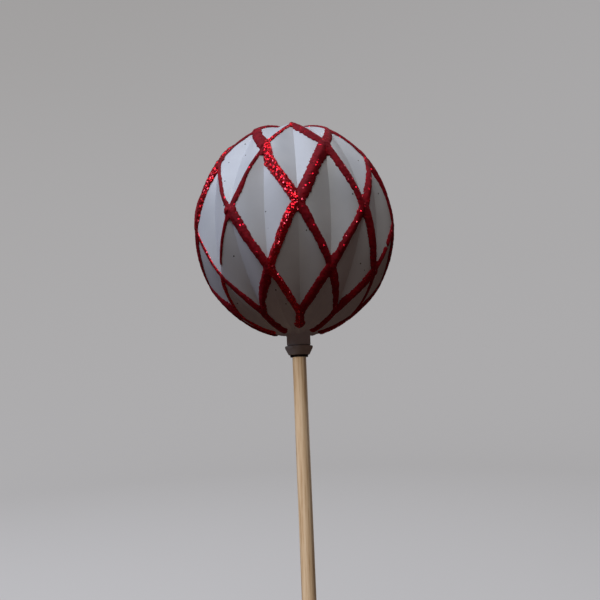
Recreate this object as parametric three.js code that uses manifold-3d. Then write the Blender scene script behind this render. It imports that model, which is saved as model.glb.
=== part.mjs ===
// Faceted bauble on a wooden stick: a hollow moulded shell with a diamond lattice of ridges,
// a push-in neck collar with a dark grip ring, a round stick that the ball slides and turns on,
// and the glitter beads drawn along the ridges.
// Millimetres, +Z up along the stick, origin at its lower end.
import * as THREE from 'three';
import { mergeVertices } from 'three/addons/utils/BufferGeometryUtils.js';
import Module from 'manifold-3d';

const wasm = await Module();
wasm.setup();

// Ball
const BALL_RADIUS = 40;
const BALL_STRETCH = 1.08;
const WALL = 1.0;
const DIAMONDS_ROUND = 10;
const CROSSING_LATITUDES = [55, 31, -1.5, -31, -57.5];
const VALLEY_DEPTHS = [0.032, 0.065, 0.08, 0.065, 0.032];
const END_LATITUDE = 82;
const STEPS_PER_EDGE = 3;

// Neck, collar and grip ring, as heights above the ball's centre
const NECK_RADIUS = 4.7;
const NECK_BORE_RADIUS = 3.95;
const NECK_TOP = -41;
const NECK_END = -46.6;
const NECK_BORE_TOP = -39;
const COLLAR_RIM_RADIUS = 5.5;
const COLLAR_LIP_RADIUS = 4.2;
const COLLAR_HEIGHT = 3.5;
const COLLAR_SPIGOT_RADIUS = 3.65;
const COLLAR_SPIGOT_TOP = -41.5;
const COLLAR_BORE_RADIUS = 3.15;
const COLLAR_MOUTH_RADIUS = 3.85;
const COLLAR_MOUTH_DEPTH = 1.5;
const GRIP_RADIUS = 3.55;
const GRIP_BORE_RADIUS = 3.15;
const GRIP_BELOW_LIP = 0.9;

// Stick
const STICK_LENGTH = 300;
const STICK_RADIUS = 2.75;
const STICK_CHAMFER = 0.3;

// Glitter beads
const BEAD_HALF_WIDTH = 1.6;
const BEAD_HEIGHT = 1.3;
const BEAD_LIFT = 0.4;
const BEAD_SHOULDER = 0.75;
const BEAD_SADDLE_SLOPE = 0.2;
const BEAD_END_LATITUDE = 74;

const GAP = 0.3;
const ROUND_SEGMENTS = 32;

// How far a cutting solid reaches past the faces it opens, and the sizes below which points are one
const CUT_PAST = 1;
const WELD = 1e-4;
const SLIVER = 1e-6;

const BALL_CENTRE_Z = STICK_LENGTH + GAP - (topOfBall() - WALL);
const HALF_SPACING = Math.PI / DIAMONDS_ROUND;

const finishes = {
  shell: new THREE.MeshStandardMaterial({ color: 0xe6eaee, roughness: 0.45, metalness: 0 }),
  collar: new THREE.MeshStandardMaterial({ color: 0xd9d8d4, roughness: 0.5, metalness: 0 }),
  grip: new THREE.MeshStandardMaterial({ color: 0x2b2724, roughness: 0.8, metalness: 0 }),
  wood: new THREE.MeshStandardMaterial({ color: 0xc9a274, roughness: 0.7, metalness: 0 }),
  glitter: new THREE.MeshStandardMaterial({ color: 0xb3061c, roughness: 0.35, metalness: 0.2 }),
};

function topOfBall() {
  return BALL_RADIUS * BALL_STRETCH * Math.sin(THREE.MathUtils.degToRad(END_LATITUDE));
}

/** A point on the ball's ellipsoid, pulled towards the centre by depth. Turns are half spacings. */
function ballPoint(latitude, halfTurns, depth = 0) {
  const angle = THREE.MathUtils.degToRad(latitude);
  const azimuth = halfTurns * HALF_SPACING;
  const out = BALL_RADIUS * (1 - depth);
  return new THREE.Vector3(
    out * Math.cos(angle) * Math.sin(azimuth),
    -out * Math.cos(angle) * Math.cos(azimuth),
    out * BALL_STRETCH * Math.sin(angle),
  );
}

/** The crossings, from the upper end ring to the lower one. */
const rows = [END_LATITUDE, ...CROSSING_LATITUDES, -END_LATITUDE];

function isPastCrossings(latitude) {
  return latitude > CROSSING_LATITUDES[0] || latitude < CROSSING_LATITUDES.at(-1);
}

/** Steps of one diamond level, from its upper tip to its lower one, as latitude and ridge offset. */
function levelSteps(level) {
  const steps = [];
  for (const part of [0, 1]) {
    const [from, to] = [rows[level + part], rows[level + part + 1]];
    for (let i = 0; i < STEPS_PER_EDGE; i += 1) {
      const t = i / STEPS_PER_EDGE;
      steps.push({ latitude: from + (to - from) * t, offset: part === 0 ? t : 1 - t });
    }
  }
  steps.push({ latitude: rows[level + 2], offset: 0 });
  // Above the first crossings and below the last, the ridge runs straight to the end ring.
  return steps.map((step) => ({
    ...step,
    offset: isPastCrossings(step.latitude) ? 1 : step.offset,
  }));
}

/** How far the valley of a level lies below the ellipsoid at one latitude. */
function valleyDepth(level, latitude) {
  const [top, bottom] = [rows[level], rows[level + 2]];
  const along = (top - latitude) / (top - bottom);
  return VALLEY_DEPTHS[level] * 4 * along * (1 - along);
}

/** The pleated ball as a closed solid, with flat ends at both end rings. */
function pleatedBall() {
  const corners = [];
  const face = (a, b, c) => {
    if (Math.min(a.distanceTo(b), b.distanceTo(c), c.distanceTo(a)) > SLIVER) {
      corners.push(...a.toArray(), ...b.toArray(), ...c.toArray());
    }
  };
  for (let level = 0; level < VALLEY_DEPTHS.length; level += 1) {
    const steps = levelSteps(level);
    for (let cell = 0; cell < DIAMONDS_ROUND; cell += 1) {
      const middle = 2 * cell + ((level + 1) % 2);
      for (const side of [-1, 1]) {
        const valley = steps.map((s) => ballPoint(s.latitude, middle, valleyDepth(level, s.latitude)));
        const ridge = steps.map((s) => ballPoint(s.latitude, middle + side * s.offset));
        for (let i = 0; i + 1 < steps.length; i += 1) {
          const quad = [valley[i], valley[i + 1], ridge[i + 1], ridge[i]];
          if (side < 0) quad.reverse();
          face(quad[0], quad[1], quad[2]);
          face(quad[0], quad[2], quad[3]);
        }
        for (const [end, up] of [[0, 1], [steps.length - 1, -1]]) {
          if (Math.abs(steps[end].latitude) === END_LATITUDE) {
            const hub = new THREE.Vector3(0, 0, valley[end].z);
            if (side * up > 0) face(valley[end], ridge[end], hub);
            else face(ridge[end], valley[end], hub);
          }
        }
      }
    }
  }
  const geometry = new THREE.BufferGeometry();
  geometry.setAttribute('position', new THREE.Float32BufferAttribute(corners, 3));
  return geometry;
}

/** A solid turned about Z from [radius, height] corners that start and end on the axis. */
function turned(profile) {
  const points = profile.map(([radius, height]) => new THREE.Vector2(radius, height));
  const geometry = new THREE.LatheGeometry(points, ROUND_SEGMENTS);
  geometry.rotateX(Math.PI / 2);
  return geometry;
}

function solid(geometry) {
  const bare = geometry.index ? geometry.toNonIndexed() : geometry.clone();
  bare.deleteAttribute('normal');
  bare.deleteAttribute('uv');
  const merged = mergeVertices(bare, WELD);
  const kept = [];
  for (let i = 0; i < merged.index.count; i += 3) {
    const [a, b, c] = [0, 1, 2].map((j) => merged.index.getX(i + j));
    if (a !== b && b !== c && c !== a) kept.push(a, b, c);
  }
  return new wasm.Manifold(new wasm.Mesh({
    numProp: 3,
    vertProperties: new Float32Array(merged.attributes.position.array),
    triVerts: new Uint32Array(kept),
  }));
}

function asGeometry(manifold) {
  const mesh = manifold.getMesh();
  const geometry = new THREE.BufferGeometry();
  geometry.setAttribute('position', new THREE.BufferAttribute(mesh.vertProperties, mesh.numProp));
  geometry.setIndex(new THREE.BufferAttribute(mesh.triVerts, 1));
  geometry.computeVertexNormals();
  return geometry;
}

function named(name, geometry, material) {
  const mesh = new THREE.Mesh(geometry, material);
  mesh.name = name;
  return mesh;
}

function ballShell() {
  const inner = pleatedBall();
  const shrink = 1 - WALL / BALL_RADIUS;
  inner.scale(shrink, shrink, (topOfBall() - WALL) / topOfBall());
  const neck = turned([[0, NECK_END], [NECK_RADIUS, NECK_END], [NECK_RADIUS, NECK_TOP], [0, NECK_TOP]]);
  const bore = turned([
    [0, NECK_END - CUT_PAST],
    [NECK_BORE_RADIUS, NECK_END - CUT_PAST],
    [NECK_BORE_RADIUS, NECK_BORE_TOP],
    [0, NECK_BORE_TOP],
  ]);
  const shell = solid(pleatedBall()).add(solid(neck)).subtract(solid(inner)).subtract(solid(bore));
  return named('ball_shell', asGeometry(shell), finishes.shell);
}

function neckCollar() {
  const rim = NECK_END - GAP;
  const lip = rim - COLLAR_HEIGHT;
  const body = turned([
    [0, lip],
    [COLLAR_LIP_RADIUS, lip],
    [COLLAR_RIM_RADIUS, rim],
    [COLLAR_SPIGOT_RADIUS, rim],
    [COLLAR_SPIGOT_RADIUS, COLLAR_SPIGOT_TOP],
    [0, COLLAR_SPIGOT_TOP],
  ]);
  const bore = turned([
    [0, lip - CUT_PAST],
    [COLLAR_MOUTH_RADIUS, lip - CUT_PAST],
    [COLLAR_MOUTH_RADIUS, lip + COLLAR_MOUTH_DEPTH],
    [COLLAR_BORE_RADIUS, lip + COLLAR_MOUTH_DEPTH],
    [COLLAR_BORE_RADIUS, COLLAR_SPIGOT_TOP + CUT_PAST],
    [0, COLLAR_SPIGOT_TOP + CUT_PAST],
  ]);
  return named('neck_collar', asGeometry(solid(body).subtract(solid(bore))), finishes.collar);
}

function gripRing() {
  const lip = NECK_END - GAP - COLLAR_HEIGHT;
  const low = lip - GRIP_BELOW_LIP;
  const top = lip + COLLAR_MOUTH_DEPTH - GAP;
  const body = turned([[0, low], [GRIP_RADIUS, low], [GRIP_RADIUS, top], [0, top]]);
  const bore = turned([
    [0, low - CUT_PAST],
    [GRIP_BORE_RADIUS, low - CUT_PAST],
    [GRIP_BORE_RADIUS, top + CUT_PAST],
    [0, top + CUT_PAST],
  ]);
  return named('grip_ring', asGeometry(solid(body).subtract(solid(bore))), finishes.grip);
}

function stick() {
  const flat = STICK_RADIUS - STICK_CHAMFER;
  return named('stick', turned([
    [0, 0],
    [flat, 0],
    [STICK_RADIUS, STICK_CHAMFER],
    [STICK_RADIUS, STICK_LENGTH - STICK_CHAMFER],
    [flat, STICK_LENGTH],
    [0, STICK_LENGTH],
  ]), finishes.wood);
}

/** Latitudes from the outermost crossing, up or down, to the bead's end, on the shell's own steps. */
function tailLatitudes(crossing) {
  const first = Math.abs(crossing);
  const step = (END_LATITUDE - first) / STEPS_PER_EDGE;
  const whole = Math.floor((BEAD_END_LATITUDE - first) / step);
  const latitudes = Array.from({ length: whole + 1 }, (_, i) => first + i * step);
  return [...latitudes, BEAD_END_LATITUDE].map((latitude) => Math.sign(crossing) * latitude);
}

/** The line that one bead follows down the ridges, on one side of the meridian at middle. */
function beadPath(middle, side) {
  const upper = tailLatitudes(CROSSING_LATITUDES[0]);
  const path = upper.slice(1).reverse().map((latitude) => ballPoint(latitude, middle));
  for (let row = 0; row + 1 < CROSSING_LATITUDES.length; row += 1) {
    const [from, to] = [CROSSING_LATITUDES[row], CROSSING_LATITUDES[row + 1]];
    for (let i = 0; i < STEPS_PER_EDGE; i += 1) {
      const t = i / STEPS_PER_EDGE;
      const offset = row % 2 === 0 ? t : 1 - t;
      path.push(ballPoint(from + (to - from) * t, middle + side * offset));
    }
  }
  const lower = tailLatitudes(CROSSING_LATITUDES.at(-1));
  path.push(...lower.map((latitude) => ballPoint(latitude, middle)));
  return path;
}

/** A bead that sits astride the ridge along path, as a closed solid. */
function beadAlong(path) {
  const foot = BEAD_LIFT - BEAD_HALF_WIDTH * BEAD_SADDLE_SLOPE;
  const shoulder = [BEAD_SHOULDER * BEAD_HALF_WIDTH, BEAD_SHOULDER * BEAD_HEIGHT];
  const section = [
    [0, BEAD_LIFT],
    [-BEAD_HALF_WIDTH, foot],
    [-shoulder[0], shoulder[1]],
    [0, GAP + BEAD_HEIGHT],
    shoulder,
    [BEAD_HALF_WIDTH, foot],
  ];
  const stretch = BALL_STRETCH * BALL_STRETCH;
  const rings = path.map((point, i) => {
    const out = new THREE.Vector3(point.x, point.y, point.z / stretch).normalize();
    const along = path[Math.min(i + 1, path.length - 1)].clone().sub(path[Math.max(i - 1, 0)]);
    const across = along.cross(out).normalize();
    return section.map(([x, y]) => point.clone().addScaledVector(across, x).addScaledVector(out, y));
  });
  const corners = [];
  const face = (a, b, c) => corners.push(...a.toArray(), ...b.toArray(), ...c.toArray());
  for (let i = 0; i + 1 < rings.length; i += 1) {
    for (let j = 0; j < section.length; j += 1) {
      const k = (j + 1) % section.length;
      face(rings[i][j], rings[i][k], rings[i + 1][k]);
      face(rings[i][j], rings[i + 1][k], rings[i + 1][j]);
    }
  }
  const [first, last] = [rings[0], rings.at(-1)];
  for (const j of [1, 2, 3, 4]) {
    face(first[0], first[j + 1], first[j]);
    face(last[0], last[j], last[j + 1]);
  }
  const geometry = new THREE.BufferGeometry();
  geometry.setAttribute('position', new THREE.Float32BufferAttribute(corners, 3));
  return geometry;
}

/** The wedge of space between a bead's own meridian and the next, less half the gap on each side. */
function wedge(middle, side) {
  const reach = 2 * BALL_RADIUS;
  const height = 3 * BALL_RADIUS;
  const centre = (middle + side / 2) * HALF_SPACING;
  const apex = GAP / 2 / Math.sin(HALF_SPACING / 2);
  const shape = new THREE.Shape([
    new THREE.Vector2(apex, 0),
    new THREE.Vector2(reach, -(reach - apex) * Math.tan(HALF_SPACING / 2)),
    new THREE.Vector2(reach, (reach - apex) * Math.tan(HALF_SPACING / 2)),
  ]);
  const geometry = new THREE.ExtrudeGeometry(shape, { depth: height, bevelEnabled: false });
  geometry.translate(0, 0, -height / 2);
  geometry.rotateZ(centre - Math.PI / 2);
  return geometry;
}

function glitterBead(cell, side) {
  const middle = 2 * cell;
  const bead = solid(beadAlong(beadPath(middle, side))).intersect(solid(wedge(middle, side)));
  const hand = side < 0 ? 'left' : 'right';
  const number = String(cell + 1).padStart(2, '0');
  return named(`glitter_bead_${hand}_${number}`, asGeometry(bead), finishes.glitter);
}

const ball = new THREE.Group();
ball.position.z = BALL_CENTRE_Z;
ball.add(ballShell(), neckCollar(), gripRing());
for (let cell = 0; cell < DIAMONDS_ROUND; cell += 1) {
  ball.add(glitterBead(cell, -1), glitterBead(cell, 1));
}

const part = new THREE.Group();
part.add(stick(), ball);

export default part;
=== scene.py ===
"""Looks of a faceted bauble with glitter glue drawn on its ridges, pushed onto a round stick.

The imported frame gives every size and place. Lengths inside the classes are millimetres, as a maker
would measure them, and each mesh is turned to metres when it is made.
"""

import logging
import math
from dataclasses import dataclass, field
from enum import Enum

import bmesh
import bpy
import numpy as np
from mathutils import Matrix, Vector


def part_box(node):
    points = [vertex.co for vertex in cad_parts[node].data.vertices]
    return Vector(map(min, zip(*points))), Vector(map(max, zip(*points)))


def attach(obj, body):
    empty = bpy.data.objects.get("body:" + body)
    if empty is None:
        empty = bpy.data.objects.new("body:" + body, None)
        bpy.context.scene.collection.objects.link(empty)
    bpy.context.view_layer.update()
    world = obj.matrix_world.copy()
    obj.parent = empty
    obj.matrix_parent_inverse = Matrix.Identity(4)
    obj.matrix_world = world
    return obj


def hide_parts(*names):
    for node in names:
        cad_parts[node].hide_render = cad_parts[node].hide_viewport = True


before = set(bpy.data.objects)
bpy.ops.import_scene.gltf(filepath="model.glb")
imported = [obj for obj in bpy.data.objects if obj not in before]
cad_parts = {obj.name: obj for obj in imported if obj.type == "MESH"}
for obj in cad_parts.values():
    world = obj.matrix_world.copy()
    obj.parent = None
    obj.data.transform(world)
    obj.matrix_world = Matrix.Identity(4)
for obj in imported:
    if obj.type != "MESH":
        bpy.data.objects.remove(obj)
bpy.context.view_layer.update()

MM = 0.001
# Millimetres between the neck's end and the collar's rim.
RIM_GAP = 0.3
LOG = logging.getLogger("bauble")

# Swells of noise: each one's height, its width in millimetres, and how far off it is read, in
# millimetres, so that it is unlike the others.
Layers = tuple[tuple[float, float, float], ...]


# ---------------------------------------------------------------- helpers


def linear(colour: str) -> tuple[float, float, float, float]:
    """Turn an sRGB hex colour to the linear values that a shader takes.

    Args:
        colour: Six hex digits after a hash sign.

    Returns:
        Linear red, green, blue and an alpha of one.
    """
    parts = [int(colour[i : i + 2], 16) / 255 for i in (1, 3, 5)]
    steep = [c / 12.92 if c <= 0.04045 else ((c + 0.055) / 1.055) ** 2.4 for c in parts]
    return (*steep, 1.0)


def add_node(
    tree: bpy.types.NodeTree, kind: str, links: dict | None = None, **settings: object
) -> bpy.types.Node:
    """Add one shader node with its settings and links.

    Args:
        tree: The node tree that takes the node.
        kind: The node's Blender type name.
        links: Input name or index to the output socket that feeds it.
        settings: Node properties, and input values under names that start with in_.

    Returns:
        The new node.
    """
    node = tree.nodes.new(kind)
    for name, value in settings.items():
        if name.startswith("in_"):
            key = name[3:]
            socket = node.inputs[int(key)] if key.isdigit() else node.inputs[key.replace("_", " ")]
            socket.default_value = value
        else:
            setattr(node, name, value)
    for name, source in (links or {}).items():
        tree.links.new(source, node.inputs[name])
    return node


def colour_ramp(
    tree: bpy.types.NodeTree, source: bpy.types.NodeSocket, stops: list[tuple[float, str]],
    mode: str = "LINEAR",
) -> bpy.types.NodeSocket:
    """Turn a value into colours given as stops.

    Args:
        tree: The node tree.
        source: The value from 0 to 1.
        stops: Places and hex colours, lowest first.
        mode: How the ramp goes from one stop to the next.

    Returns:
        The ramp's colour socket.
    """
    node = add_node(tree, "ShaderNodeValToRGB", {"Fac": source})
    node.color_ramp.interpolation = mode
    while len(node.color_ramp.elements) < len(stops):
        node.color_ramp.elements.new(0.5)
    for element, (place, colour) in zip(node.color_ramp.elements, stops):
        element.position = place
        element.color = linear(colour)
    return node.outputs["Color"]


def noise_pattern(
    tree: bpy.types.NodeTree, place: bpy.types.NodeSocket, size_mm: float,
    detail: float = 2.0, roughness: float = 0.5,
) -> bpy.types.NodeSocket:
    """Lay smooth noise over a piece.

    Args:
        tree: The node tree.
        place: Where on the piece it is read.
        size_mm: Width of one swell in millimetres.
        detail: How many finer layers lie on it.
        roughness: How strong the finer layers are.

    Returns:
        The pattern's value, from 0 to 1.
    """
    node = add_node(tree, "ShaderNodeTexNoise", {"Vector": place}, in_Scale=1 / (size_mm * MM),
                    in_Detail=detail, in_Roughness=roughness)
    return node.outputs["Fac"]


class ValueNoise:
    """Smooth, seeded noise in space, from -1 to 1, the same on every run."""

    SIDE = 32

    def __init__(self, seed: int) -> None:
        """Fill the noise's lattice.

        Args:
            seed: Picks the pattern.
        """
        self.table = np.random.default_rng(seed).uniform(-1, 1, (self.SIDE,) * 3)

    def __call__(self, points: np.ndarray, size: float) -> np.ndarray:
        """Read the noise at points.

        Args:
            points: Places in millimetres, with X, Y and Z last.
            size: Width of one swell in millimetres.

        Returns:
            One value for each point.
        """
        scaled = points / size
        low = np.floor(scaled).astype(int)
        part = scaled - low
        part = part * part * (3 - 2 * part)
        total = np.zeros(points.shape[:-1])
        for corner in np.ndindex(2, 2, 2):
            at = tuple((low[..., i] + corner[i]) % self.SIDE for i in range(3))
            weight = np.prod(
                [part[..., i] if corner[i] else 1 - part[..., i] for i in range(3)], axis=0
            )
            total += self.table[at] * weight
        return total

    def layers(self, points: np.ndarray, layers: Layers) -> np.ndarray:
        """Add up swells of several sizes.

        Args:
            points: Places in millimetres, with X, Y and Z last.
            layers: The swells.

        Returns:
            One value for each point.
        """
        return sum(height * self(points + offset, size) for height, size, offset in layers)


def tube_mesh(
    name: str, rings: np.ndarray, material: bpy.types.Material, sharp_degrees: float = 40.0
) -> bpy.types.Object:
    """Make a closed mesh from rings of points, each joined to the next, with both ends closed.

    Args:
        name: The piece's name.
        rings: Points in millimetres as rings, points and X, Y, Z.
        material: The piece's finish.
        sharp_degrees: Edges that turn more than this stay crisp.

    Returns:
        The new object, in metres.
    """
    count, around = rings.shape[:2]
    vertices = rings.reshape(-1, 3)
    index = np.arange(count * around).reshape(count, around)
    after = np.roll(index, -1, axis=1)
    quads = np.stack([index[:-1], after[:-1], after[1:], index[1:]], axis=-1).reshape(-1, 4)
    hubs = np.array([rings[0].mean(axis=0), rings[-1].mean(axis=0)])
    first, last = count * around, count * around + 1
    caps = [(first, int(b), int(a)) for a, b in zip(index[0], after[0])]
    caps += [(last, int(a), int(b)) for a, b in zip(index[-1], after[-1])]
    return mesh_object(name, np.vstack([vertices, hubs]), [*quads.tolist(), *caps], material, sharp_degrees)


def mesh_object(
    name: str, vertices: np.ndarray, faces: list, material: bpy.types.Material, sharp_degrees: float
) -> bpy.types.Object:
    """Make one smooth-shaded object in metres from points in millimetres.

    Args:
        name: The piece's name.
        vertices: Points in millimetres.
        faces: Corner numbers of each face.
        material: The piece's finish.
        sharp_degrees: Edges that turn more than this stay crisp.

    Returns:
        The new object, with doubled points joined and its faces pointing out.
    """
    mesh = bpy.data.meshes.new(name)
    mesh.from_pydata((vertices * MM).tolist(), [], faces)
    mesh.materials.append(material)
    work = bmesh.new()
    work.from_mesh(mesh)
    bmesh.ops.remove_doubles(work, verts=work.verts, dist=2e-6)
    bmesh.ops.dissolve_degenerate(work, edges=work.edges, dist=1e-7)
    bmesh.ops.recalc_face_normals(work, faces=work.faces)
    work.to_mesh(mesh)
    work.free()
    mesh.polygons.foreach_set("use_smooth", [True] * len(mesh.polygons))
    mesh.set_sharp_from_angle(angle=math.radians(sharp_degrees))
    piece = bpy.data.objects.new(name, mesh)
    bpy.context.scene.collection.objects.link(piece)
    return piece


def turned_piece(
    name: str, section: list[tuple[float, float]], material: bpy.types.Material, segments: int,
    sharp_degrees: float,
) -> bpy.types.Object:
    """Turn a closed section round the Z axis.

    Args:
        name: The piece's name.
        section: Radius and height of each corner in millimetres.
        material: The piece's finish.
        segments: Steps round the axis.
        sharp_degrees: Edges that turn more than this stay crisp.

    Returns:
        The new object.
    """
    angles = np.linspace(0, 2 * math.pi, segments, endpoint=False)
    count = len(section)
    vertices = np.array([
        (radius * math.cos(a), radius * math.sin(a), height) for a in angles for radius, height in section
    ])
    index = np.arange(segments * count).reshape(segments, count)
    after, above = np.roll(index, -1, axis=0), np.roll(index, -1, axis=1)
    faces = np.stack([index, after, np.roll(after, -1, axis=1), above], axis=-1).reshape(-1, 4)
    return mesh_object(name, vertices, faces.tolist(), material, sharp_degrees)


# ---------------------------------------------------------------- finishes


@dataclass(frozen=True)
class Finish:
    """What every finish shares: its name, its start, and how a pattern dulls it or stands up."""

    name: str

    def start(self) -> tuple[bpy.types.Material, bpy.types.NodeTree, bpy.types.Node]:
        """Make the empty material.

        Returns:
            The material, its node tree and its main shader.
        """
        material = bpy.data.materials.new(self.name)
        material.use_nodes = True
        tree = material.node_tree
        return material, tree, tree.nodes["Principled BSDF"]

    @staticmethod
    def vary_roughness(
        tree: bpy.types.NodeTree, shader: bpy.types.Node, value: bpy.types.NodeSocket,
        at_low: float, at_high: float,
    ) -> None:
        """Let a pattern set how dull the surface is.

        Args:
            tree: The node tree.
            shader: The main shader.
            value: The pattern, from 0 to 1.
            at_low: Roughness where the pattern is 0.
            at_high: Roughness where it is 1.
        """
        rough = add_node(tree, "ShaderNodeMapRange", {"Value": value}, in_To_Min=at_low, in_To_Max=at_high)
        tree.links.new(rough.outputs[0], shader.inputs["Roughness"])

    @staticmethod
    def raise_surface(
        tree: bpy.types.NodeTree, shader: bpy.types.Node, height: bpy.types.NodeSocket,
        strength: float, depth_mm: float,
    ) -> None:
        """Let a pattern stand up from the surface.

        Args:
            tree: The node tree.
            shader: The main shader.
            height: The pattern, from 0 to 1.
            strength: Share of the relief that shows.
            depth_mm: How far the pattern stands up.
        """
        bump = add_node(tree, "ShaderNodeBump", {"Height": height},
                        in_Strength=strength, in_Distance=depth_mm * MM)
        tree.links.new(bump.outputs[0], shader.inputs["Normal"])


@dataclass(frozen=True)
class BlowMouldedPolystyrene(Finish):
    """White blow-moulded polystyrene: satin, faintly cool, with a matte mould texture and dust specks."""

    name: str = "blow_moulded_polystyrene"
    body: str = "#E9EDF1"
    clouded: str = "#DDE2E7"
    speck: str = "#3A3735"
    roughness: float = 0.42
    cloud_mm: float = 14.0
    grain_mm: float = 0.9
    speck_spacing_mm: float = 5.0
    speck_radius: float = 0.06

    def build(self) -> bpy.types.Material:
        """Build the material.

        Returns:
            The finished material.
        """
        material, tree, shader = self.start()
        place = add_node(tree, "ShaderNodeTexCoord").outputs["Object"]
        cloud = noise_pattern(tree, place, self.cloud_mm, detail=3.0)
        tone = colour_ramp(tree, cloud, [(0.3, self.clouded), (0.7, self.body)])
        cells = add_node(tree, "ShaderNodeTexVoronoi", {"Vector": place},
                         in_Scale=1 / (self.speck_spacing_mm * MM))
        near = add_node(tree, "ShaderNodeMath", {0: cells.outputs["Distance"]},
                        operation="LESS_THAN", in_1=self.speck_radius)
        mixed = add_node(tree, "ShaderNodeMix", {"Factor": near.outputs[0], 6: tone},
                         data_type="RGBA", in_7=linear(self.speck))
        tree.links.new(mixed.outputs[2], shader.inputs["Base Color"])
        grain = noise_pattern(tree, place, self.grain_mm, detail=4.0)
        self.vary_roughness(tree, shader, grain, self.roughness - 0.06, self.roughness + 0.08)
        self.raise_surface(tree, shader, grain, strength=0.12, depth_mm=0.05)
        shader.inputs["IOR"].default_value = 1.59
        shader.inputs["Specular IOR Level"].default_value = 0.4
        return material


@dataclass(frozen=True)
class MouldedBush(Finish):
    """Off-white injection-moulded polyethylene: duller than the ball, with faint handling grime."""

    name: str = "moulded_polyethylene"
    body: str = "#D6D3CE"
    grime: str = "#C4BFB8"
    roughness: float = 0.5
    grime_mm: float = 3.0

    def build(self) -> bpy.types.Material:
        """Build the material.

        Returns:
            The finished material.
        """
        material, tree, shader = self.start()
        place = add_node(tree, "ShaderNodeTexCoord").outputs["Object"]
        grime = noise_pattern(tree, place, self.grime_mm, detail=5.0)
        tone = colour_ramp(tree, grime, [(0.35, self.grime), (0.6, self.body)])
        tree.links.new(tone, shader.inputs["Base Color"])
        self.vary_roughness(tree, shader, grime, self.roughness + 0.1, self.roughness - 0.05)
        self.raise_surface(tree, shader, grime, strength=0.15, depth_mm=0.1)
        shader.inputs["IOR"].default_value = 1.51
        return material


@dataclass(frozen=True)
class DarkRubberWithPaintedShade(Finish):
    """Near-black soft rubber: dull all over, with a faint bloom of dust. Its near-black colour is also
    painted shade, standing for the shade inside the collar's mouth.
    """

    name: str = "black_rubber_and_painted_mouth_shade"
    # The near-black body is partly the rubber's own colour and partly painted shade for the dark mouth of the
    # collar.
    body: str = "#2A2422"
    bloom: str = "#4A423E"
    roughness: float = 0.78
    bloom_mm: float = 1.2

    def build(self) -> bpy.types.Material:
        """Build the material.

        Returns:
            The finished material.
        """
        material, tree, shader = self.start()
        place = add_node(tree, "ShaderNodeTexCoord").outputs["Object"]
        dust = noise_pattern(tree, place, self.bloom_mm, detail=4.0)
        tone = colour_ramp(tree, dust, [(0.45, self.body), (0.75, self.bloom)])
        tree.links.new(tone, shader.inputs["Base Color"])
        self.raise_surface(tree, shader, dust, strength=0.2, depth_mm=0.05)
        shader.inputs["Roughness"].default_value = self.roughness
        shader.inputs["IOR"].default_value = 1.52
        return material


@dataclass(frozen=True)
class GlitterGlue(Finish):
    """Dried red glue full of polyester flakes: a deep flat red with sparks of light.

    Each flake lies at its own tilt, so only the few that face the light flash. Craft flakes measure
    about 0.2 mm. They are drawn at about 0.45 mm so that single ones show.
    """

    name: str = "dried_glitter_glue"
    glue: str = "#A4081E"
    deep: str = "#84061A"
    flake: str = "#E01A32"
    pale_flake: str = "#FF5C6C"
    flake_mm: float = 0.45
    swirl_mm: float = 2.5
    flake_share: float = 0.035
    pale_share: float = 0.12
    tilt: float = 1.1
    glue_roughness: float = 0.75
    flake_roughness: float = 0.3

    def build(self) -> bpy.types.Material:
        """Build the material.

        Returns:
            The finished material.
        """
        material, tree, shader = self.start()
        place = add_node(tree, "ShaderNodeTexCoord").outputs["Object"]
        swirl = noise_pattern(tree, place, self.swirl_mm)
        body = colour_ramp(tree, swirl, [(0.35, self.deep), (0.65, self.glue)])
        flakes = add_node(tree, "ShaderNodeTexVoronoi", {"Vector": place},
                          in_Scale=1 / (self.flake_mm * MM), in_Randomness=1.0)
        draw = add_node(tree, "ShaderNodeSeparateColor", {"Color": flakes.outputs["Color"]})
        metal = colour_ramp(tree, draw.outputs["Blue"], [
            (0.0, self.flake), (1 - self.pale_share, self.pale_flake),
        ], "CONSTANT")
        shows = add_node(tree, "ShaderNodeMath", {0: draw.outputs["Red"]},
                         operation="LESS_THAN", in_1=self.flake_share)
        tone = add_node(tree, "ShaderNodeMix", {"Factor": shows.outputs[0], 6: body, 7: metal},
                        data_type="RGBA")
        tree.links.new(tone.outputs[2], shader.inputs["Base Color"])
        tree.links.new(shows.outputs[0], shader.inputs["Metallic"])
        self.vary_roughness(tree, shader, shows.outputs[0], self.glue_roughness, self.flake_roughness)
        shader.inputs["Specular IOR Level"].default_value = 0.2
        centred = add_node(tree, "ShaderNodeVectorMath", {0: flakes.outputs["Color"]},
                           operation="SUBTRACT", in_1=(0.5, 0.5, 0.5))
        reach = add_node(tree, "ShaderNodeMath", {0: shows.outputs[0]}, operation="MULTIPLY", in_1=self.tilt)
        scaled = add_node(tree, "ShaderNodeVectorMath", {0: centred.outputs[0], "Scale": reach.outputs[0]},
                          operation="SCALE")
        surface = add_node(tree, "ShaderNodeNewGeometry").outputs["Normal"]
        leaned = add_node(tree, "ShaderNodeVectorMath", {0: surface, 1: scaled.outputs[0]},
                          operation="ADD")
        unit = add_node(tree, "ShaderNodeVectorMath", {0: leaned.outputs[0]}, operation="NORMALIZE")
        tree.links.new(unit.outputs[0], shader.inputs["Normal"])
        return material


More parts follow.
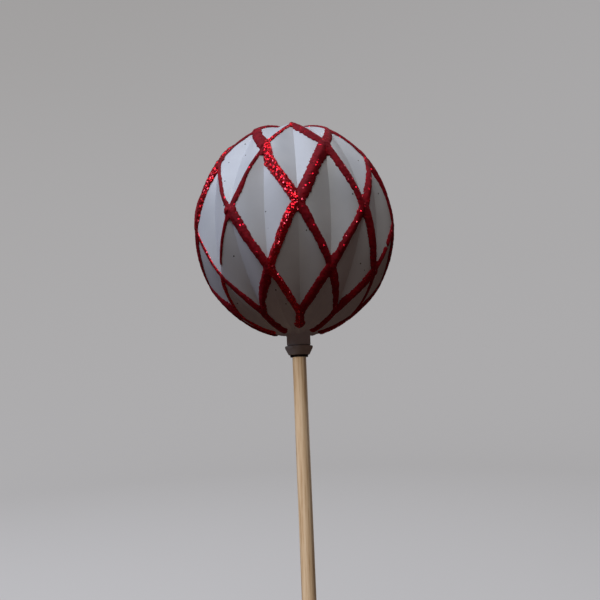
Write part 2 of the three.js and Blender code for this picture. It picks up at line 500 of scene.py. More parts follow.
@dataclass(frozen=True)
class BareDowelWood(Finish):
    """Bare birch dowel: pale tan, with fine long grain and darker pores."""

    name: str = "bare_birch_dowel"
    pale: str = "#E2CCAE"
    middle: str = "#D2B794"
    dark: str = "#B08D66"
    grain_mm: float = 0.8
    stretch: float = 28.0
    roughness: float = 0.62

    def build(self) -> bpy.types.Material:
        """Build the material.

        Returns:
            The finished material.
        """
        material, tree, shader = self.start()
        place = add_node(tree, "ShaderNodeTexCoord").outputs["Object"]
        along = add_node(tree, "ShaderNodeMapping", {"Vector": place}, in_Scale=(1, 1, 1 / self.stretch))
        grain = noise_pattern(tree, along.outputs[0], self.grain_mm, detail=6.0, roughness=0.6)
        tone = colour_ramp(tree, grain, [
            (0.32, self.dark), (0.48, self.middle), (0.66, self.pale),
        ])
        tree.links.new(tone, shader.inputs["Base Color"])
        self.vary_roughness(tree, shader, grain, self.roughness + 0.12, self.roughness - 0.05)
        self.raise_surface(tree, shader, grain, strength=0.35, depth_mm=0.12)
        shader.inputs["IOR"].default_value = 1.53
        return material


@dataclass(frozen=True)
class MattePaint(Finish):
    """Flat studio paint: plain and pale, so that it says nothing."""

    name: str = "matte_studio_paint"
    body: str = "#8E8E90"
    roughness: float = 0.9
    glow_colour: str = "#CDCCCC"
    glow: float = 0.52

    def build(self) -> bpy.types.Material:
        """Build the material.

        Returns:
            The finished material.
        """
        material, _, shader = self.start()
        shader.inputs["Base Color"].default_value = linear(self.body)
        shader.inputs["Roughness"].default_value = self.roughness
        # The paint's own faint glow stands for the even light of a room, so no side of the set is black.
        shader.inputs["Emission Color"].default_value = linear(self.glow_colour)
        shader.inputs["Emission Strength"].default_value = self.glow
        return material


# ---------------------------------------------------------------- the ball's shape


@dataclass(frozen=True)
class Lattice:
    """The ball's pleated shape: ridges that cross in a diamond lattice, with a valley in each diamond.

    Turns are counted in half spacings round from -Y, and even meridians carry the widest ring's
    crossings. A half cell runs from an even meridian (share 0) to the odd one beside it (share 1).
    """

    centre_z: float
    radius: float
    stretch: float = 1.08
    around: int = 10
    crossings: tuple[float, ...] = (55.0, 31.0, -1.5, -31.0, -57.5)
    end_latitude: float = 82.0
    depths: tuple[float, ...] = (0.032, 0.065, 0.08, 0.065, 0.032)
    ridge_round: float = 0.6
    flatness: float = 0.7

    def tips(self) -> list[float]:
        """The crossings with the poles above and below them, where the end diamonds close."""
        return [90.0, *self.crossings, -90.0]

    def ellipsoid(
        self, latitude: np.ndarray, turns: np.ndarray, depth: np.ndarray | float = 0.0
    ) -> np.ndarray:
        """Points on the ellipsoid that the ridges lie on, drawn towards its centre.

        Args:
            latitude: Degrees above the widest ring.
            turns: Half spacings round from -Y.
            depth: Share of the way to the centre.

        Returns:
            The points in millimetres.
        """
        angle, azimuth = np.radians(latitude), turns * math.pi / self.around
        out = self.radius * (1 - depth)
        flat = out * np.cos(angle)
        return np.stack([
            flat * np.sin(azimuth),
            -flat * np.cos(azimuth),
            self.centre_z + out * self.stretch * np.sin(angle),
        ], axis=-1)

    def outward(self, latitude: np.ndarray, turns: np.ndarray) -> np.ndarray:
        """The ellipsoid's outward normal.

        Args:
            latitude: Degrees above the widest ring.
            turns: Half spacings round from -Y.

        Returns:
            Unit vectors.
        """
        angle, azimuth = np.radians(latitude), turns * math.pi / self.around
        normal = np.stack([
            np.cos(angle) * np.sin(azimuth),
            -np.cos(angle) * np.cos(azimuth),
            np.sin(angle) / self.stretch,
        ], axis=-1)
        return normal / np.linalg.norm(normal, axis=-1, keepdims=True)

    def ridge_share(self, latitude: np.ndarray) -> np.ndarray:
        """Where the ridge crosses a half cell, from 0 at its even meridian to 1 at its odd one."""
        shares = [i % 2 for i in range(len(self.crossings))]
        return np.interp(latitude, self.crossings[::-1], shares[::-1])

    def facet(self, level: int, even: int, way: int) -> np.ndarray:
        """The six control points of one facet, half of a diamond.

        Args:
            level: The diamond's row, counted from the top.
            even: The even meridian's number.
            way: 1 where the odd meridian follows it and -1 where it comes before.

        Returns:
            Upper tip, side corner and lower tip, then the points that curve the upper ridge, the
            lower ridge and the valley.
        """
        top, side, low = self.tips()[level : level + 3]
        middle = even + way * ((level + 1) % 2)
        corner = even + way * (level % 2)
        tips = [self.ellipsoid(top, middle), self.ellipsoid(side, corner), self.ellipsoid(low, middle)]
        over = self.ellipsoid((top + side) / 2, corner if level == 0 else (middle + corner) / 2)
        under = self.ellipsoid((side + low) / 2, corner if low == -90 else (middle + corner) / 2)
        bed = self.ellipsoid((top + low) / 2, middle, self.depths[level])
        return np.array([
            *tips,
            2 * over - (tips[0] + tips[1]) / 2,
            2 * under - (tips[1] + tips[2]) / 2,
            2 * bed - (tips[0] + tips[2]) / 2,
        ])

    def surface(self, latitude: np.ndarray, share: np.ndarray, even: int, way: int) -> np.ndarray:
        """Points on the shell's outside in one half cell.

        Args:
            latitude: Degrees above the widest ring.
            share: How far from the even meridian to the odd one.
            even: The even meridian's number.
            way: 1 where the odd meridian follows it and -1 where it comes before.

        Returns:
            The points in millimetres.
        """
        latitude, share = np.broadcast_arrays(latitude, share)
        tips = self.tips()
        ridge_at = self.ridge_share(latitude)
        inner = share < ridge_at
        reach = np.maximum(np.where(inner, ridge_at, 1 - ridge_at), 1e-6)
        away = np.abs(share - ridge_at) / reach
        place = np.zeros((*latitude.shape, 3))
        for level in range(len(tips) - 2):
            top, side, low = tips[level : level + 3]
            here = (inner == (level % 2 == 1)) & (latitude <= top) & (latitude > low)
            if low == -90:
                here |= (latitude == low) & (inner == (level % 2 == 1))
            if not here.any():
                continue
            lat, off = latitude[here], away[here]
            down = (top - lat) / (top - low)
            above = lat >= side
            run = np.where(above, (top - lat) / (top - side), (lat - low) / (side - low))
            corner = run * (1 - off)
            first = np.where(above, (1 - run) * (1 - off), 0) + (1 - down) * off
            last = 1 - corner - first
            bends = self.facet(level, even, way)
            weights = (first**2, corner**2, last**2, 2 * first * corner, 2 * corner * last, 2 * first * last)
            patch = sum(w[:, None] * b for w, b in zip(weights, bends))
            swell = (bends[3] + bends[4]) / 2 - (bends[1] + (bends[0] + bends[2]) / 4 + bends[5] / 2) / 2
            patch -= self.flatness * 8 * (first * corner * last)[:, None] * swell
            valley_width = np.linalg.norm(bends[1] - (bends[0] + bends[2]) / 2)
            run_mm = off * valley_width * np.maximum(run, 0.05)
            steep = self.depths[level] * self.radius / valley_width
            cut = steep * (np.sqrt(run_mm**2 + self.ridge_round**2) - run_mm)
            normal = self.outward(lat, even + way * share[here])
            place[here] = patch - normal * cut[:, None]
        return place


# ---------------------------------------------------------------- the pieces


class Hand(Enum):
    """Which side of its even meridian a bead runs down."""

    LEFT = -1
    RIGHT = 1


@dataclass
class BallShell:
    """The hollow ball with its moulded neck, one closed wall with an open bore."""

    lattice: Lattice
    finish: bpy.types.Material
    wall: float = 1.0
    neck_radius: float = 4.7
    bore_radius: float = 3.95
    neck_end_z: float = 0.0
    columns_per_facet: int = 9
    narrowest: float = 0.03
    crowding: float = 1.25
    outer_rows: int = 200
    inner_rows: int = 56
    crease_degrees: float = 14.0
    fillet_height: float = 0.8
    fillet_rings: int = 5
    bore_past_foot: float = 0.6

    def ring_shares(self, ridge_at: float) -> np.ndarray:
        """Places across a half cell, closer together beside the ridge.

        Args:
            ridge_at: The ridge's share of the half cell.

        Returns:
            Rising shares from 0, without 1.
        """
        place = float(np.clip(ridge_at, self.narrowest, 1 - self.narrowest))
        steps = np.arange(self.columns_per_facet) / self.columns_per_facet
        before = place * (1 - (1 - steps) ** self.crowding)
        beyond = place + (1 - place) * steps**self.crowding
        return np.concatenate([before, beyond])

    def ring(self, latitude: float, inset: float) -> np.ndarray:
        """One ring of the pleated surface.

        Args:
            latitude: Degrees above the widest ring.
            inset: Millimetres inside the outer surface.

        Returns:
            The ring's points.
        """
        shape = self.lattice
        ridge_at = float(shape.ridge_share(np.array(latitude)))
        shares = self.ring_shares(ridge_at)
        points = []
        for half in range(2 * shape.around):
            if half % 2 == 0:
                points.append(shape.surface(np.array(latitude), shares, half, 1))
            else:
                back = np.append(shares[1:], 1.0)[::-1]
                points.append(shape.surface(np.array(latitude), back, half + 1, -1))
        ring = np.concatenate(points)
        middle = np.array([0, 0, shape.centre_z])
        return middle + (ring - middle) * (1 - inset / shape.radius)

    def round_ring(self, radius: float, height: float) -> np.ndarray:
        """A plain round ring with its points at the pleated rings' places.

        Args:
            radius: Millimetres from the axis.
            height: Millimetres above the frame's origin.

        Returns:
            The ring's points.
        """
        base = self.ring(-self.lattice.end_latitude, 0)
        around = base[:, :2] / np.linalg.norm(base[:, :2], axis=1, keepdims=True)
        return np.column_stack([around * radius, np.full(len(base), height)])

    def build(self) -> bpy.types.Object:
        """Build the shell.

        Returns:
            The finished piece.
        """
        shape = self.lattice
        end = shape.end_latitude
        outside = [self.ring(x, 0) for x in np.linspace(90, -end, self.outer_rows)]
        foot = float(outside[-1][:, 2].mean())
        edge = float(np.linalg.norm(outside[-1][:, :2], axis=1).mean())
        flare = edge - self.neck_radius
        fillet = [
            self.round_ring(
                self.neck_radius + flare * (1 - math.sin(a)), foot - self.fillet_height * (1 - math.cos(a))
            )
            for a in np.linspace(0.3, math.pi / 2, self.fillet_rings)
        ]
        low = self.neck_end_z
        lip = [(self.neck_radius, low + 0.25), (self.neck_radius - 0.08, low + 0.07),
               (self.neck_radius - 0.25, low), (self.bore_radius + 0.15, low),
               (self.bore_radius, low + 0.15), (self.bore_radius, foot + self.bore_past_foot)]
        walls = [self.round_ring(radius, height) for radius, height in lip]
        inside = [self.ring(x, self.wall) for x in np.linspace(-end, 90, self.inner_rows)]
        rings = np.array([*outside, *fillet, *walls, *inside])
        piece = tube_mesh("faceted_ball", rings, self.finish, self.crease_degrees)
        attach(piece, "ball")
        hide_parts("ball_shell")
        return piece


@dataclass
class NeckCollar:
    """The tapered push-in bush that the stick runs through."""

    finish: bpy.types.Material
    rim_z: float
    lip_z: float
    top_z: float
    rim_radius: float = 5.5
    lip_radius: float = 4.2
    spigot_radius: float = 3.65
    bore_radius: float = 3.15
    mouth_radius: float = 3.85
    mouth_depth: float = 1.5
    ease: float = 0.25
    segments: int = 96

    def profile(self) -> list[tuple[float, float]]:
        """The bush's closed section, as radius and height, with its edges eased."""
        ease = self.ease
        return [
            (self.mouth_radius, self.lip_z + 0.1),
            (self.mouth_radius + 0.1, self.lip_z),
            (self.lip_radius - ease, self.lip_z),
            (self.lip_radius - 0.07, self.lip_z + 0.07),
            (self.lip_radius + 0.05, self.lip_z + ease),
            (self.rim_radius - 0.12, self.rim_z - 1.1),
            (self.rim_radius, self.rim_z - 0.7),
            (self.rim_radius, self.rim_z - ease),
            (self.rim_radius - 0.08, self.rim_z - 0.07),
            (self.rim_radius - ease, self.rim_z),
            (self.spigot_radius, self.rim_z),
            (self.spigot_radius, self.top_z),
            (self.bore_radius, self.top_z),
            (self.bore_radius, self.lip_z + self.mouth_depth),
            (self.mouth_radius, self.lip_z + self.mouth_depth),
        ]

    def build(self) -> bpy.types.Object:
        """Build the bush.

        Returns:
            The finished piece.
        """
        piece = turned_piece("tapered_collar", self.profile(), self.finish, self.segments, 50)
        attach(piece, "collar")
        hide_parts("neck_collar")
        return piece


@dataclass
class GripRing:
    """The soft ring inside the bush's mouth that grips the stick."""

    finish: bpy.types.Material
    low_z: float
    high_z: float
    outer_radius: float = 3.55
    bore_radius: float = 3.15
    segments: int = 64
    roll_steps: int = 8

    def build(self) -> bpy.types.Object:
        """Build the ring as a short tube with a rolled lower edge.

        Returns:
            The finished piece.
        """
        middle = (self.outer_radius + self.bore_radius) / 2
        thick = (self.outer_radius - self.bore_radius) / 2
        section = [(middle + thick, self.high_z), (middle - thick, self.high_z)]
        for step in range(self.roll_steps + 1):
            angle = math.pi * step / self.roll_steps
            section.append((middle - thick * math.cos(angle), self.low_z + thick * (1 - math.sin(angle))))
        piece = turned_piece("grip_ring_visual", section, self.finish, self.segments, 50)
        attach(piece, "collar")
        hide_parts("grip_ring")
        return piece


@dataclass
class Stick:
    """The round wooden stick, sawn at both ends and a little uneven along its length."""

    finish: bpy.types.Material
    length: float
    radius: float
    segments: int = 48
    rows: int = 240
    ease: float = 0.3
    wear: float = 0.04
    unevenness: float = 0.03
    swell: float = 1.1
    swell_stretch: float = 0.06
    noise: ValueNoise = field(default_factory=lambda: ValueNoise(5))

    def build(self) -> bpy.types.Object:
        """Build the stick.

        Returns:
            The finished piece.
        """
        angles = np.linspace(0, 2 * math.pi, self.segments, endpoint=False)
        ease = self.ease
        ends = np.array([0, ease * 0.3, ease])
        heights = np.concatenate([
            ends, np.linspace(1, self.length - 1, self.rows), self.length - ends[::-1],
        ])
        rings = []
        for height in heights:
            near_end = min(height, self.length - height)
            lost = ease * (1 - math.sqrt(max(0.0, 1 - (1 - min(near_end / ease, 1)) ** 2)))
            place = np.column_stack([
                self.radius * np.cos(angles), self.radius * np.sin(angles), np.full(len(angles), height),
            ])
            rough = self.unevenness * self.noise(place * [1, 1, self.swell_stretch], self.swell)
            radius = self.radius - lost - self.wear + rough
            rings.append(np.column_stack([
                radius * np.cos(angles), radius * np.sin(angles), np.full(len(angles), height),
            ]))
        piece = tube_mesh("round_stick", np.array(rings), self.finish, 50)
        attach(piece, "stick")
        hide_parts("stick")
        return piece


@dataclass(frozen=True)
class Stroke:
    """One straight pull of the glue nozzle, in a half cell's own places.

    Shares run from the even meridian to the odd one. The widths are half the bead's width in
    millimetres, at the stroke's two ends.
    """

    from_share: float
    from_latitude: float
    to_share: float
    to_latitude: float
    from_width: float
    to_width: float

    def mirrored(self, about: float) -> "Stroke":
        """The stroke seen from the half cell across a meridian.

        Args:
            about: The meridian's share, 0 or 1.

        Returns:
            The mirrored stroke.
        """
        return Stroke(2 * about - self.from_share, self.from_latitude,
                      2 * about - self.to_share, self.to_latitude, self.from_width, self.to_width)

    def at(self, part: float, aside: float = 0.0) -> tuple[float, float, float]:
        """A place along the stroke.

        Args:
            part: Share of the way from its start.
            aside: How far off the line it lies, as a share of the half cell.

        Returns:
            Share, latitude and half width there.
        """
        return (
            self.from_share + (self.to_share - self.from_share) * part + aside,
            self.from_latitude + (self.to_latitude - self.from_latitude) * part,
            self.from_width + (self.to_width - self.from_width) * part,
        )

    def between(self, start: float, end: float) -> "Stroke":
        """The part of the stroke between two shares of its length."""
        return self.joining(self.at(start), self.at(end))

    @staticmethod
    def joining(start: tuple[float, float, float], end: tuple[float, float, float]) -> "Stroke":
        """A straight pull between two places given as share, latitude and half width."""
        return Stroke(start[0], start[1], end[0], end[1], start[2], end[2])


# Half the bead's width in millimetres at the two ends of a stroke, where the hand pressed harder or
# went faster than usual, by half cell and by stroke, counted down from the upper crossings.
DRAWN_WIDTHS = {
    (16, 1): (2.5, 2.0), (16, 2): (0.8, 0.7), (16, 3): (1.1, 1.3),
    (17, 0): (0.9, 1.1), (17, 1): (0.8, 1.0), (17, 2): (0.8, 0.6), (17, 3): (1.1, 1.5),
    (18, 0): (2.3, 2.1), (18, 1): (0.5, 1.2), (18, 2): (2.3, 1.4), (18, 3): (1.8, 1.5),
    (19, 0): (0.9, 1.0), (19, 1): (2.0, 2.2), (19, 2): (1.9, 1.5), (19, 3): (1.4, 1.4),
    (0, 0): (1.6, 2.2), (0, 1): (2.5, 2.3), (0, 2): (1.7, 1.5), (0, 3): (1.9, 1.7),
    (1, 0): (1.5, 1.8), (1, 1): (1.6, 2.1), (1, 2): (1.7, 1.7), (1, 3): (1.6, 1.4),
    (2, 0): (1.2, 1.4), (2, 1): (1.5, 1.8), (2, 2): (2.1, 2.2), (2, 3): (2.2, 1.9),
    (3, 0): (1.1, 1.3), (3, 2): (1.5, 1.2), (3, 3): (1.2, 0.9),
}

# Half widths of the upper and the lower tail and the latitudes where they end, by even meridian.
DRAWN_TAILS = {
    (18, -1): (2.2, 73.0), (0, -1): (1.0, 66.0),
    (16, 4): (1.4, -74.0), (18, 4): (1.8, -74.0), (0, 4): (1.75, -68.5),
    (2, 4): (1.5, -75.5), (4, 4): (1.3, -76.5),
}

# Where the lowest crossing was drawn off its place on the lattice, as its latitude.
LOW_CROSSINGS = {0: -60.5, 16: -56.0}

# The half cells whose bead came from the part of the tube where the flakes had gathered.
RICH_BEADS = (5, 8, 11, 16, 19)

# Where the nozzle skipped and the ridge shows, as the share of the stroke from its upper end.
BARE_STRETCHES = {(17, 2): (0.78, 0.97), (3, 2): (0.45, 0.58)}

# Where a stroke wandered off its ridge: how far down it, and how far aside as a share of the half cell.
BENDS = {(19, 1): (0.3, 0.13), (18, 1): (0.75, 0.05), (16, 1): (0.4, -0.06), (18, 2): (0.5, -0.04)}


@dataclass
class GlitterGlueWork:
    """All the glitter glue: beads drawn down the ridges, merging where they cross."""

    lattice: Lattice
    finish: bpy.types.Material
    rich_finish: bpy.types.Material
    tail_latitude: float = 73.0
    tail_spread: float = 2.5
    row_step: float = 0.26
    columns: int = 16
    usual_width: float = 1.6
    width_spread: float = 0.35
    height_share: float = 0.36
    seat: float = 0.12
    stray: float = 0.14
    blob: float = 1.15
    merge: float = 10.0
    drift: Layers = ((0.45, 9.0, 0.0), (0.18, 2.6, 0.0))
    slip: Layers = ((0.45, 9.0, 70.0),)
    frayed_edge: Layers = ((0.13, 0.55, 0.0), (0.10, 1.5, 31.0))
    lumps: Layers = ((0.16, 0.5, 11.0), (0.10, 1.8, 5.0))
    noise: ValueNoise = field(default_factory=lambda: ValueNoise(11))
    widths: dict[tuple[int, int], tuple[float, float]] = field(default_factory=lambda: dict(DRAWN_WIDTHS))
    tails: dict[tuple[int, int], tuple[float, float]] = field(default_factory=lambda: dict(DRAWN_TAILS))

    def __post_init__(self) -> None:
        """Pick the widths and tails that have no drawn value from a seeded spread."""
        draws = np.random.default_rng(23)
        count = 2 * self.lattice.around
        spans = len(self.lattice.crossings) - 1
        for half in range(count):
            for edge in range(spans):
                drawn = self.usual_width + self.width_spread * draws.uniform(-1, 1, 2)
                self.widths.setdefault((half, edge), tuple(drawn))
            for edge, way in ((-1, 1), (spans, -1)):
                drawn = self.usual_width + self.width_spread * draws.uniform(-1, 1)
                end = self.tail_latitude + self.tail_spread * draws.uniform(-1, 1)
                self.tails.setdefault((half, edge), (drawn, way * end))

    def own_strokes(self, half: int) -> list[Stroke]:
        """The strokes of one half cell, with its share of the tails.

        Args:
            half: The half cell's number, from 0 round.

        Returns:
            The strokes.
        """
        half %= 2 * self.lattice.around
        # A tail lies on the even meridian, so it has to be the same from both sides.
        even = half if half % 2 == 0 else (half + 1) % (2 * self.lattice.around)
        lat = list(self.lattice.crossings)
        lat[-1] = LOW_CROSSINGS.get(even, lat[-1])
        strokes = []
        for edge in range(len(lat) - 1):
            whole = Stroke(edge % 2, lat[edge], (edge + 1) % 2, lat[edge + 1], *self.widths[half, edge])
            if (half, edge) in BARE_STRETCHES:
                low, high = BARE_STRETCHES[half, edge]
                strokes += [whole.between(0, low), whole.between(high, 1)]
            elif (half, edge) in BENDS:
                corner = whole.at(*BENDS[half, edge])
                strokes += [Stroke.joining(whole.at(0), corner), Stroke.joining(corner, whole.at(1))]
            else:
                strokes.append(whole)
        for start, edge in ((lat[0], -1), (lat[-1], len(lat) - 1)):
            width, end = self.tails[even, edge]
            strokes.append(Stroke(0, start, 0, end, width, width))
            # The blob where the nozzle was lifted.
            strokes.append(Stroke(0, end, 0, end, self.blob * width, self.blob * width))
        return strokes

    def strokes_seen(self, half: int) -> list[Stroke]:
        """The strokes that can reach into one half cell.

        Args:
            half: The half cell's number.

        Returns:
            Its own strokes and those of the half cells beside it.
        """
        step = -1 if half % 2 == 0 else 1
        across_even = [s.mirrored(0) for s in self.own_strokes(half + step)]
        across_odd = [s.mirrored(1) for s in self.own_strokes(half - step)]
        return [*self.own_strokes(half), *across_even, *across_odd]

    def thickness(self, half: int, latitude: np.ndarray, share: np.ndarray, points: np.ndarray) -> np.ndarray:
        """The glue's thickness over one half cell.

        Args:
            half: The half cell's number.
            latitude: Degrees above the widest ring.
            share: How far from the even meridian to the odd one.
            points: The same places in space.

        Returns:
            Millimetres, below 0 where the shell is bare.
        """
        shape = self.lattice
        way = 1 if half % 2 == 0 else -1
        across = math.pi / shape.around * shape.radius * np.cos(np.radians(latitude))
        drift, slip = self.noise.layers(points, self.drift), self.noise.layers(points, self.slip)
        up_scale = shape.radius * math.radians(1) * np.sqrt(
            np.sin(np.radians(latitude)) ** 2 + (shape.stretch * np.cos(np.radians(latitude))) ** 2
        )
        weight_sum = np.full_like(latitude, 1e-12)
        width_sum = np.zeros_like(latitude)
        for stroke in self.strokes_seen(half):
            ax = (stroke.from_share - share) * across + way * drift
            ay = (stroke.from_latitude - latitude) * up_scale + slip
            bx = (stroke.to_share - share) * across + way * drift
            by = (stroke.to_latitude - latitude) * up_scale + slip
            dx, dy = bx - ax, by - ay
            t = np.clip(-(ax * dx + ay * dy) / np.maximum(dx * dx + dy * dy, 1e-9), 0, 1)
            width = stroke.from_width + t * (stroke.to_width - stroke.from_width)
            distance = np.hypot(ax + t * dx, ay + t * dy) / width
            weight = np.exp(-self.merge * distance)
            weight_sum += weight
            width_sum += weight * width
        nearest = -np.log(weight_sum) / self.merge
        nearest += self.noise.layers(points, self.frayed_edge)
        width = width_sum / weight_sum
        dome = np.sqrt(np.clip(1 - np.clip(nearest, 0, None) ** 3, 0, 1))
        lumps = 1 + self.noise.layers(points, self.lumps)
        return np.where(nearest < 1, self.height_share * width * dome * lumps, -0.1)

    def wet_span(self, wet: np.ndarray, fine: np.ndarray, home: float) -> tuple[float, float] | None:
        """Find the stretch of glue that belongs to the half cell's own ridge, on one level.

        Args:
            wet: Which of the places have glue.
            fine: The places, as shares of the half cell.
            home: The ridge's share.

        Returns:
            The stretch's ends, or None where the ridge is bare.
        """
        marks = np.flatnonzero(wet)
        if not len(marks):
            return None
        groups = np.split(marks, np.flatnonzero(np.diff(marks) > 1) + 1)
        spans = [(float(fine[g[0]]), float(fine[g[-1]])) for g in groups if len(g) > 1]
        near = [span for span in spans if span[0] - self.stray <= home <= span[1] + self.stray]
        return max(near, key=lambda span: span[1] - span[0]) if near else None

    def bead(self, half: int) -> list[np.ndarray]:
        """Sections of one bead, from its upper tail to its lower one.

        Args:
            half: The half cell's number.

        Returns:
            One array of sections for each unbroken run of glue.
        """
        shape = self.lattice
        even, way = (half, 1) if half % 2 == 0 else (half + 1, -1)
        reach = self.tail_latitude + 5
        count = round(shape.radius * math.radians(2 * reach) / self.row_step)
        latitudes = np.linspace(reach, -reach, count)
        fine = np.linspace(0, 1, 161)
        level, share = np.meshgrid(latitudes, fine, indexing="ij")
        wet = self.thickness(half, level, share, shape.surface(level, share, even, way)) > 0
        homes = shape.ridge_share(latitudes)
        spans = [self.wet_span(row, fine, home) for row, home in zip(wet, homes)]
        across = (1 - np.cos(np.linspace(0, math.pi, self.columns))) / 2
        runs: list[list[int]] = [[]]
        for row, span in enumerate(spans):
            if span:
                runs[-1].append(row)
            elif runs[-1]:
                runs.append([])
        beads = []
        for rows in (run for run in runs if len(run) > 3):
            ends = np.array([spans[row] for row in rows])
            shares = ends[:, :1] + (ends[:, 1:] - ends[:, :1]) * across
            level = np.broadcast_to(latitudes[rows][:, None], shares.shape)
            base = shape.surface(level, shares, even, way)
            thick = np.clip(self.thickness(half, level, shares, base), 0, None)
            normal = shape.outward(level, even + way * shares)
            top = base + normal * thick[..., None]
            under = (base - normal * self.seat)[:, ::-4]
            beads.append(np.concatenate([top, under], axis=1))
        return beads

    def build(self) -> list[bpy.types.Object]:
        """Build every bead.

        Returns:
            The finished pieces.
        """
        made = []
        for number in range(1, self.lattice.around + 1):
            for hand in Hand:
                even = 2 * (number - 1)
                half = even if hand is Hand.RIGHT else (even - 1) % (2 * self.lattice.around)
                label = f"{hand.name.lower()}_{number:02d}"
                finish = self.rich_finish if half in RICH_BEADS else self.finish
                runs = [tube_mesh(f"glitter_{label}", run, finish, 70) for run in self.bead(half)]
                piece = runs[0]
                if len(runs) > 1:
                    with bpy.context.temp_override(active_object=piece, selected_editable_objects=runs):
                        bpy.ops.object.join()
                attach(piece, "ball")
                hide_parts(f"glitter_bead_{label}")
                made.append(piece)
        return made


# ---------------------------------------------------------------- the studio


@dataclass(frozen=True)
class SoftBox:
    """A square soft light that faces the ball.

    Its azimuth is degrees round from -Y towards +X and its elevation degrees above the horizon. Its
    distance and its side are metres, and its power is watts.
    """

    name: str
    azimuth: float
    elevation: float
    distance: float
    side: float
    power: float
    colour: str


WINDOWS = (
    SoftBox("side_window", -75, 43, 1.1, 0.6, 4.8, "#DEE7FF"),
    SoftBox("high_window", -50, 62, 1.1, 0.6, 2.8, "#D8E4FF"),
    SoftBox("ceiling", -10, 50, 1.1, 0.6, 3.5, "#FFFFFA"),
    SoftBox("back_window", 130, 60, 1.1, 0.6, 1.6, "#F4F5FF"),
)
BACKDROP_WASH = SoftBox("backdrop_wash", -55, 12, 1.3, 0.8, 14.0, "#FFFCF8")
STICK_FILLS = (
    SoftBox("stick_fill", -35, -8, 0.9, 0.2, 3.5, "#FFF6EC"),
    SoftBox("stick_back_fill", 140, -8, 0.9, 0.2, 1.8, "#FFF6EC"),
)


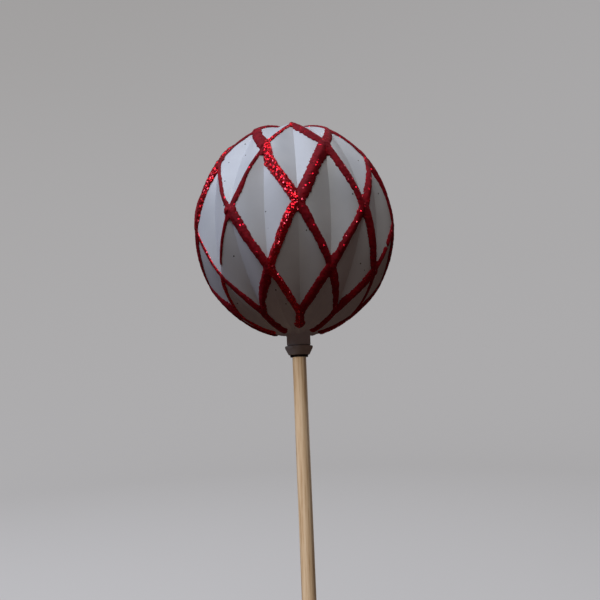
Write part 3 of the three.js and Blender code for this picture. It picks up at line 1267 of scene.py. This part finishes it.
@dataclass
class Studio:
    """A pale floor that sweeps up all round, soft light from the upper left, and the camera."""

    target: Vector
    ball_radius: float
    stick: bpy.types.Object
    floor_radius: float = 1.0
    sweep_radius: float = 0.7
    steps_round: int = 72
    wall_height: float = 5.0
    lens: float = 30.0
    sensor: float = 36.0
    distance: float = 5.15
    tilt: float = 9.3
    roll: float = -2.4
    turn: float = 2.8
    shift_right: float = -0.06
    shift_up: float = 0.70

    def floor(self) -> bpy.types.Object:
        """Build the round floor and the wall it sweeps up into on every side.

        Returns:
            The stage object.
        """
        turn = self.sweep_radius
        section = [(share * self.floor_radius, 0.0) for share in (0.02, 0.3, 0.6, 0.8)]
        section += [
            (self.floor_radius + turn * math.sin(a), turn * (1 - math.cos(a)))
            for a in (math.radians(step) for step in range(0, 91, 6))
        ]
        section.append((self.floor_radius + turn, self.wall_height))
        angles = [math.tau * i / self.steps_round for i in range(self.steps_round)]
        vertices = [(r * math.cos(a), r * math.sin(a), z) for r, z in section for a in angles]
        vertices.append((0.0, 0.0, 0.0))
        index = np.arange(len(section) * self.steps_round).reshape(len(section), -1)
        after = np.roll(index, -1, axis=1)
        faces = np.stack([index[:-1], after[:-1], after[1:], index[1:]], axis=-1).reshape(-1, 4).tolist()
        faces += [(len(vertices) - 1, int(j), int(i)) for i, j in zip(index[0], after[0])]
        mesh = bpy.data.meshes.new("studio_floor")
        mesh.from_pydata(vertices, [], faces)
        mesh.materials.append(MattePaint().build())
        mesh.polygons.foreach_set("use_smooth", [True] * len(mesh.polygons))
        stage = bpy.data.objects.new("studio_floor", mesh)
        bpy.context.scene.collection.objects.link(stage)
        # Its bounce would fill the ball's shaded underside, and every glitter flake would mirror it.
        stage.visible_diffuse = False
        stage.visible_glossy = False
        return stage

    def camera(self) -> bpy.types.Object:
        """Place the camera by where the ball lies in front of it.

        Returns:
            The camera.
        """
        turn = Matrix.Rotation(math.radians(self.turn), 3, "Z")
        tilt = Matrix.Rotation(-math.radians(self.tilt), 3, "X")
        roll = Matrix.Rotation(math.radians(self.roll), 3, "Y")
        to_camera = roll @ tilt @ turn
        ball = Vector((self.shift_right, self.distance, self.shift_up)) * self.ball_radius
        back = to_camera.transposed()
        place = self.target - back @ ball
        data = bpy.data.cameras.new("camera")
        data.lens = self.lens
        data.sensor_width = self.sensor
        data.clip_start = 0.01
        camera = bpy.data.objects.new("camera", data)
        right, ahead, up = (back @ Vector(v) for v in ((1, 0, 0), (0, 1, 0), (0, 0, 1)))
        rotation = Matrix((right, up, -ahead)).transposed()
        camera.matrix_world = Matrix.Translation(place) @ rotation.to_4x4()
        bpy.context.scene.collection.objects.link(camera)
        bpy.context.scene.camera = camera
        return camera

    def light_only(self, light: bpy.types.Object, pieces: list[bpy.types.Object]) -> None:
        """Let a light fall on some pieces and nothing else.

        Args:
            light: The light.
            pieces: What it lights.
        """
        lit = bpy.data.collections.new(f"{light.name}_falls_on")
        for piece in pieces:
            lit.objects.link(piece)
        light.light_linking.receiver_collection = lit

    def hang(self, box: SoftBox) -> bpy.types.Object:
        """Hang a soft box so that it faces the ball.

        Args:
            box: The soft box.

        Returns:
            The light.
        """
        data = bpy.data.lights.new(box.name, "AREA")
        data.size = box.side
        data.energy = box.power
        data.color = linear(box.colour)[:3]
        light = bpy.data.objects.new(box.name, data)
        a, e = math.radians(box.azimuth), math.radians(box.elevation)
        away = Vector((math.sin(a) * math.cos(e), -math.cos(a) * math.cos(e), math.sin(e)))
        light.location = self.target + away * box.distance
        light.rotation_euler = away.to_track_quat("Z", "Y").to_euler()
        bpy.context.scene.collection.objects.link(light)
        return light

    def surroundings(self, colour: str, strength: float) -> None:
        """Set the dim light that comes from all round.

        Args:
            colour: Its hex colour.
            strength: How bright it is.
        """
        world = bpy.data.worlds.new("surroundings")
        world.use_nodes = True
        background = world.node_tree.nodes["Background"]
        background.inputs["Color"].default_value = linear(colour)
        background.inputs["Strength"].default_value = strength
        bpy.context.scene.world = world

    def build(self) -> None:
        """Build the stage, the lights and the camera."""
        stage = self.floor()
        for window in WINDOWS:
            self.hang(window)
        self.light_only(self.hang(BACKDROP_WASH), [stage])
        for fill in STICK_FILLS:
            self.light_only(self.hang(fill), [self.stick])
        self.surroundings("#FFD0C0", 0.045)
        bpy.context.scene.view_settings.view_transform = "Standard"
        self.camera()


# ---------------------------------------------------------------- assembly


def node_box(name: str) -> tuple[np.ndarray, np.ndarray]:
    """Lowest and highest corner of a CAD node in millimetres."""
    low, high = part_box(name)
    return np.array(low) / MM, np.array(high) / MM


def log_piece(piece: bpy.types.Object) -> None:
    """Say what was made and how finely."""
    LOG.info("made %s with %d faces", piece.name, len(piece.data.polygons))


def main() -> None:
    """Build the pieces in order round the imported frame."""
    logging.basicConfig(level=logging.INFO, format="%(message)s")
    shell_low, shell_high = node_box("ball_shell")
    collar_low, collar_high = node_box("neck_collar")
    stick_low, stick_high = node_box("stick")
    radius = float(shell_high[1] - shell_low[1]) / 2
    top = radius * Lattice.stretch * math.sin(math.radians(Lattice.end_latitude))
    lattice = Lattice(centre_z=float(shell_high[2]) - top, radius=radius)

    shell = BallShell(lattice, BlowMouldedPolystyrene().build(), neck_end_z=float(shell_low[2])).build()
    log_piece(shell)
    rim_z = float(shell_low[2]) - RIM_GAP
    collar = NeckCollar(MouldedBush().build(), rim_z=rim_z, lip_z=float(collar_low[2]),
                        top_z=float(collar_high[2])).build()
    log_piece(collar)
    ring_low, ring_high = node_box("grip_ring")
    # The ring's near-black finish is partly painted shade for the collar's mouth.
    ring = GripRing(DarkRubberWithPaintedShade().build(), low_z=float(ring_low[2]), high_z=float(ring_high[2])).build()
    log_piece(ring)
    stick = Stick(BareDowelWood().build(), length=float(stick_high[2] - stick_low[2]),
                  radius=float(stick_high[0] - stick_low[0]) / 2).build()
    log_piece(stick)
    rich = GlitterGlue("dried_glitter_glue_rich_in_flakes", glue="#B4081C", deep="#940616", flake="#F4202E",
                       flake_share=0.58)
    for bead in GlitterGlueWork(lattice, GlitterGlue().build(), rich.build()).build():
        log_piece(bead)
    Studio(Vector((0, 0, lattice.centre_z * MM)), radius * MM, stick).build()


if __name__ == "__main__":
    main()
